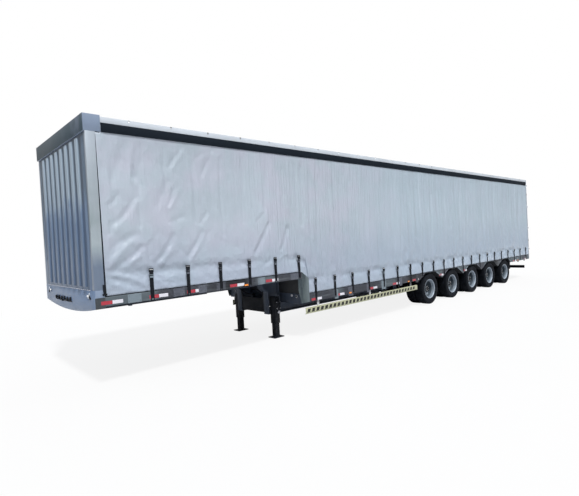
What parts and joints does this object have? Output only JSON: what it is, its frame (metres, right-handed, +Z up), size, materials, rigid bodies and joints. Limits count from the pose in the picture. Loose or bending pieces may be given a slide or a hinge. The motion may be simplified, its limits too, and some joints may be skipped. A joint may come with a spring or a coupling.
{
  "type": "curtain-side step-deck semi trailer",
  "caption": "Step-deck curtain-side semi trailer with a ribbed front wall, strapped side curtains, twin wheels, landing legs and hinged rear doors.",
  "frame": {"origin": "on the floor below the middle of the overall length, on the centreline", "axes": "+X forward towards the coupling, +Y to the left, +Z up"},
  "size_m": [16.6, 2.542, 3.84],
  "materials": {
    "frame_paint": "satin paint, blue-grey",
    "silver_paint": "satin paint, light silver",
    "galvanised": "dull galvanised steel",
    "chassis_paint": "dark charcoal paint",
    "black_steel": "black paint",
    "white_rail": "pale satin paint",
    "curtain_fabric": "silver-grey coated sheet",
    "webbing": "black webbing and buckles",
    "pelmet_black": "black flexible strip",
    "deck_wood": "brown coated boards",
    "roof_sheet": "pale roof skin",
    "tyre_rubber": "matte tyre rubber",
    "rim_silver": "silver rim paint",
    "guard_plastic": "black plastic",
    "guard_paint": "pale yellow paint",
    "lamp_lens": "amber, white and red lenses"
  },
  "bodies": {
    "trailer": {"main_beams": "chassis_paint", "cross_bearers": "chassis_paint", "coupling_plate": "chassis_paint", "upper_deck": "deck_wood", "lower_deck": "deck_wood", "step_panels": "galvanised", "side_raves": "galvanised", "front_wall": "frame_paint", "front_apron": "frame_paint", "corner_posts": "silver_paint", "front_header": "frame_paint", "roof": "roof_sheet", "cant_rails": "white_rail", "pelmets": "pelmet_black", "side_pillars": "galvanised", "rear_frame": "silver_paint", "door_hinges": "galvanised", "curtain_left": "curtain_fabric", "curtain_right": "curtain_fabric", "curtain_straps": "webbing", "rear_bumper": "black_steel", "axles": "black_steel", "leaf_springs": "black_steel", "spring_hangers": "chassis_paint", "mudguards": "guard_plastic", "landing_legs": "black_steel", "landing_drive": "black_steel", "side_guards": "guard_paint", "air_tanks": "black_steel", "lamps": "lamp_lens", "front_couplings": "guard_plastic", "step_bulkhead": "galvanised"},
    "door_left": {"door_left": "silver_paint", "door_left_rods": "galvanised"},
    "door_right": {"door_right": "silver_paint", "door_right_rods": "galvanised"},
    "wheel_1_left": {"wheel_1_left_tyres": "tyre_rubber", "wheel_1_left_rims": "rim_silver"},
    "wheel_1_right": {"wheel_1_right_tyres": "tyre_rubber", "wheel_1_right_rims": "rim_silver"},
    "wheel_2_left": {"wheel_2_left_tyres": "tyre_rubber", "wheel_2_left_rims": "rim_silver"},
    "wheel_2_right": {"wheel_2_right_tyres": "tyre_rubber", "wheel_2_right_rims": "rim_silver"},
    "wheel_3_left": {"wheel_3_left_tyres": "tyre_rubber", "wheel_3_left_rims": "rim_silver"},
    "wheel_3_right": {"wheel_3_right_tyres": "tyre_rubber", "wheel_3_right_rims": "rim_silver"},
    "wheel_4_left": {"wheel_4_left_tyres": "tyre_rubber", "wheel_4_left_rims": "rim_silver"},
    "wheel_4_right": {"wheel_4_right_tyres": "tyre_rubber", "wheel_4_right_rims": "rim_silver"},
    "wheel_5_left": {"wheel_5_left_tyres": "tyre_rubber", "wheel_5_left_rims": "rim_silver"},
    "wheel_5_right": {"wheel_5_right_tyres": "tyre_rubber", "wheel_5_right_rims": "rim_silver"}
  },
  "joints": [
    {"name": "door_left_hinge", "type": "hinge", "parent": "trailer", "child": "door_left", "pos_m": [-8.273, 1.243, 2.25], "axis": [0, 0, 1], "range_deg": [-250, 0]},
    {"name": "door_right_hinge", "type": "hinge", "parent": "trailer", "child": "door_right", "pos_m": [-8.273, -1.243, 2.25], "axis": [0, 0, 1], "range_deg": [0, 250]},
    {"name": "wheel_1_left_spin", "type": "hinge", "parent": "trailer", "child": "wheel_1_left", "pos_m": [-0.572, 0.966, 0.42], "axis": [0, 1, 0], "continuous": true},
    {"name": "wheel_1_right_spin", "type": "hinge", "parent": "trailer", "child": "wheel_1_right", "pos_m": [-0.572, -0.966, 0.42], "axis": [0, 1, 0], "continuous": true},
    {"name": "wheel_2_left_spin", "type": "hinge", "parent": "trailer", "child": "wheel_2_left", "pos_m": [-1.882, 0.966, 0.42], "axis": [0, 1, 0], "continuous": true},
    {"name": "wheel_2_right_spin", "type": "hinge", "parent": "trailer", "child": "wheel_2_right", "pos_m": [-1.882, -0.966, 0.42], "axis": [0, 1, 0], "continuous": true},
    {"name": "wheel_3_left_spin", "type": "hinge", "parent": "trailer", "child": "wheel_3_left", "pos_m": [-3.192, 0.966, 0.42], "axis": [0, 1, 0], "continuous": true},
    {"name": "wheel_3_right_spin", "type": "hinge", "parent": "trailer", "child": "wheel_3_right", "pos_m": [-3.192, -0.966, 0.42], "axis": [0, 1, 0], "continuous": true},
    {"name": "wheel_4_left_spin", "type": "hinge", "parent": "trailer", "child": "wheel_4_left", "pos_m": [-4.502, 0.966, 0.42], "axis": [0, 1, 0], "continuous": true},
    {"name": "wheel_4_right_spin", "type": "hinge", "parent": "trailer", "child": "wheel_4_right", "pos_m": [-4.502, -0.966, 0.42], "axis": [0, 1, 0], "continuous": true},
    {"name": "wheel_5_left_spin", "type": "hinge", "parent": "trailer", "child": "wheel_5_left", "pos_m": [-5.812, 0.966, 0.42], "axis": [0, 1, 0], "continuous": true},
    {"name": "wheel_5_right_spin", "type": "hinge", "parent": "trailer", "child": "wheel_5_right", "pos_m": [-5.812, -0.966, 0.42], "axis": [0, 1, 0], "continuous": true}
  ]
}
